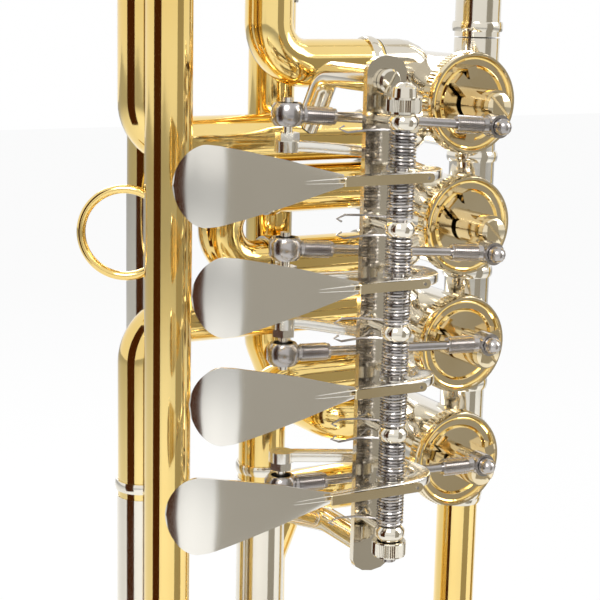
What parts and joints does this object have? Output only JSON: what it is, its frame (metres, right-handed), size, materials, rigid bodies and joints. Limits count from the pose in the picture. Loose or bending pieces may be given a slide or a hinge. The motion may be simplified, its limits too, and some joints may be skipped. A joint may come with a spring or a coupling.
{
  "type": "valve trombone",
  "caption": "Valve trombone with rotary valves worked by finger levers, valve slides, a tuning slide, a bell and a mouthpiece.",
  "frame": {"origin": "on the leadpipe's axis where the left hand holds it, just below the thumb ring", "axes": "+Z along the leadpipe to the mouthpiece, +X from the leadpipe to the bell, -Y to the finger levers' side"},
  "size_m": [0.3458, 0.1998, 1.0211],
  "materials": {
    "gold_lacquer_brass": "polished, clear gold lacquer",
    "nickel_silver": "polished nickel silver",
    "dark_steel": "plain steel, lightly worn",
    "bright_nickel": "bright plated"
  },
  "bodies": {
    "instrument": {"valve_1_tube_near": "gold_lacquer_brass", "valve_1_tube_far": "gold_lacquer_brass", "valve_2_tube_upper": "gold_lacquer_brass", "valve_2_tube_lower": "gold_lacquer_brass", "valve_3_tube_near": "gold_lacquer_brass", "valve_3_tube_far": "gold_lacquer_brass", "valve_4_tube_up": "gold_lacquer_brass", "valve_4_tube_down": "gold_lacquer_brass", "leadpipe": "gold_lacquer_brass", "front_bow": "gold_lacquer_brass", "lower_main_tube": "gold_lacquer_brass", "thumb_ring": "gold_lacquer_brass", "bell": "gold_lacquer_brass", "valve_casing_1": "nickel_silver", "valve_casing_2": "nickel_silver", "valve_casing_3": "nickel_silver", "valve_casing_4": "nickel_silver", "front_cap_1": "nickel_silver", "front_cap_2": "nickel_silver", "front_cap_3": "nickel_silver", "front_cap_4": "nickel_silver", "lever_plate": "nickel_silver", "plate_screw": "nickel_silver", "hinge_nut_top": "nickel_silver", "hinge_nut_bottom": "nickel_silver", "plate_bracket_upper": "nickel_silver", "plate_bracket_lower": "nickel_silver", "upper_main_tube": "nickel_silver", "brace_upper": "nickel_silver", "brace_lower": "nickel_silver", "bell_brace_upper": "nickel_silver", "bell_brace_lower": "nickel_silver", "lever_spring_1": "dark_steel", "lever_spring_2": "dark_steel", "lever_spring_3": "dark_steel", "lever_spring_4": "dark_steel", "hinge_rod": "dark_steel"},
    "rotor_1": {"rotor_1": "gold_lacquer_brass", "stop_arm_1": "nickel_silver"},
    "link_1": {"link_1": "dark_steel"},
    "lever_1": {"lever_1": "bright_nickel"},
    "slide_1": {"tuning_slide_valve_1": "gold_lacquer_brass"},
    "rotor_2": {"rotor_2": "gold_lacquer_brass", "stop_arm_2": "nickel_silver"},
    "link_2": {"link_2": "dark_steel"},
    "lever_2": {"lever_2": "bright_nickel"},
    "slide_2": {"tuning_slide_valve_2": "gold_lacquer_brass"},
    "rotor_3": {"rotor_3": "gold_lacquer_brass", "stop_arm_3": "nickel_silver"},
    "link_3": {"link_3": "dark_steel"},
    "lever_3": {"lever_3": "bright_nickel"},
    "slide_3": {"tuning_slide_valve_3": "gold_lacquer_brass"},
    "rotor_4": {"rotor_4": "gold_lacquer_brass", "stop_arm_4": "nickel_silver"},
    "link_4": {"link_4": "dark_steel"},
    "lever_4": {"lever_4": "bright_nickel"},
    "slide_4": {"tuning_slide_valve_4": "gold_lacquer_brass"},
    "main_slide": {"main_tuning_slide": "gold_lacquer_brass"},
    "mouthpiece": {"mouthpiece": "bright_nickel"},
    "water_key": {"water_key": "nickel_silver"}
  },
  "joints": [
    {"name": "lever_1_press", "type": "hinge", "parent": "instrument", "child": "lever_1", "pos_m": [0.0506, -0.041, 0.0502], "axis": [0, 0, -1], "range_deg": [0, 22.66], "stiffness_Nm_per_rad": 0.12, "springref_deg": -17.19},
    {"name": "rotor_1_turn", "type": "hinge", "parent": "instrument", "child": "rotor_1", "pos_m": [0.097, 0.016, 0.066], "axis": [0, -1, 0], "range_deg": [0, 90.1]},
    {"name": "link_1_swing", "type": "hinge", "parent": "rotor_1", "child": "link_1", "pos_m": [0.09205, -0.0255, 0.06105], "axis": [-0.0355, 0.9973, -0.0645], "range_deg": [0, 91.4]},
    {"name": "lever_2_press", "type": "hinge", "parent": "instrument", "child": "lever_2", "pos_m": [0.0506, -0.041, 0.0212], "axis": [0, 0, -1], "range_deg": [0, 22.66], "stiffness_Nm_per_rad": 0.12, "springref_deg": -17.19},
    {"name": "rotor_2_turn", "type": "hinge", "parent": "instrument", "child": "rotor_2", "pos_m": [0.097, 0.016, 0.0287], "axis": [0, -1, 0], "range_deg": [0, 90.1]},
    {"name": "link_2_swing", "type": "hinge", "parent": "rotor_2", "child": "link_2", "pos_m": [0.09205, -0.0255, 0.02375], "axis": [-0.0355, 0.9973, -0.0645], "range_deg": [0, 91.4]},
    {"name": "lever_3_press", "type": "hinge", "parent": "instrument", "child": "lever_3", "pos_m": [0.0506, -0.041, -0.0078], "axis": [0, 0, -1], "range_deg": [0, 22.66], "stiffness_Nm_per_rad": 0.12, "springref_deg": -17.19},
    {"name": "rotor_3_turn", "type": "hinge", "parent": "instrument", "child": "rotor_3", "pos_m": [0.097, 0.016, -0.0086], "axis": [0, 1, 0], "range_deg": [0, 90.1]},
    {"name": "link_3_swing", "type": "hinge", "parent": "rotor_3", "child": "link_3", "pos_m": [0.09205, -0.0255, -0.00365], "axis": [0.0355, -0.9973, -0.0645], "range_deg": [0, 91.4]},
    {"name": "lever_4_press", "type": "hinge", "parent": "instrument", "child": "lever_4", "pos_m": [0.0506, -0.041, -0.0368], "axis": [0, 0, -1], "range_deg": [0, 22.66], "stiffness_Nm_per_rad": 0.12, "springref_deg": -17.19},
    {"name": "rotor_4_turn", "type": "hinge", "parent": "instrument", "child": "rotor_4", "pos_m": [0.097, 0.016, -0.0459], "axis": [0, 1, 0], "range_deg": [0, 90.1]},
    {"name": "link_4_swing", "type": "hinge", "parent": "rotor_4", "child": "link_4", "pos_m": [0.09205, -0.0255, -0.04095], "axis": [0.0355, -0.9973, -0.0645], "range_deg": [0, 91.4]},
    {"name": "slide_1_pull", "type": "slide", "parent": "instrument", "child": "slide_1", "axis": [0, 0, 1], "range_m": [0, 0.016]},
    {"name": "slide_2_pull", "type": "slide", "parent": "instrument", "child": "slide_2", "axis": [-1, 0, 0], "range_m": [0, 0.016]},
    {"name": "slide_3_pull", "type": "slide", "parent": "instrument", "child": "slide_3", "axis": [0, 0, -1], "range_m": [0, 0.016]},
    {"name": "slide_4_pull", "type": "slide", "parent": "instrument", "child": "slide_4", "axis": [0, 0, 1], "range_m": [0, 0.016]},
    {"name": "main_slide_pull", "type": "slide", "parent": "instrument", "child": "main_slide", "axis": [0, 0, 1], "range_m": [0, 0.016]},
    {"name": "mouthpiece_pull", "type": "slide", "parent": "instrument", "child": "mouthpiece", "axis": [0, 0, 1], "range_m": [0, 0.018]},
    {"name": "water_key_open", "type": "hinge", "parent": "instrument", "child": "water_key", "pos_m": [0.0765, 0.0109, -0.55826], "axis": [0, -1, 0], "range_deg": [0, 15], "stiffness_Nm_per_rad": 0.02, "springref_deg": -17.19}
  ],
  "couplings": [
    {"joint": "rotor_1_turn", "follows": "lever_1_press", "ratio": 3.9718},
    {"joint": "link_1_swing", "follows": "lever_1_press", "ratio": 4.0274},
    {"joint": "rotor_2_turn", "follows": "lever_2_press", "ratio": 3.9718},
    {"joint": "link_2_swing", "follows": "lever_2_press", "ratio": 4.0274},
    {"joint": "rotor_3_turn", "follows": "lever_3_press", "ratio": 3.9718},
    {"joint": "link_3_swing", "follows": "lever_3_press", "ratio": 4.0274},
    {"joint": "rotor_4_turn", "follows": "lever_4_press", "ratio": 3.9718},
    {"joint": "link_4_swing", "follows": "lever_4_press", "ratio": 4.0274}
  ]
}
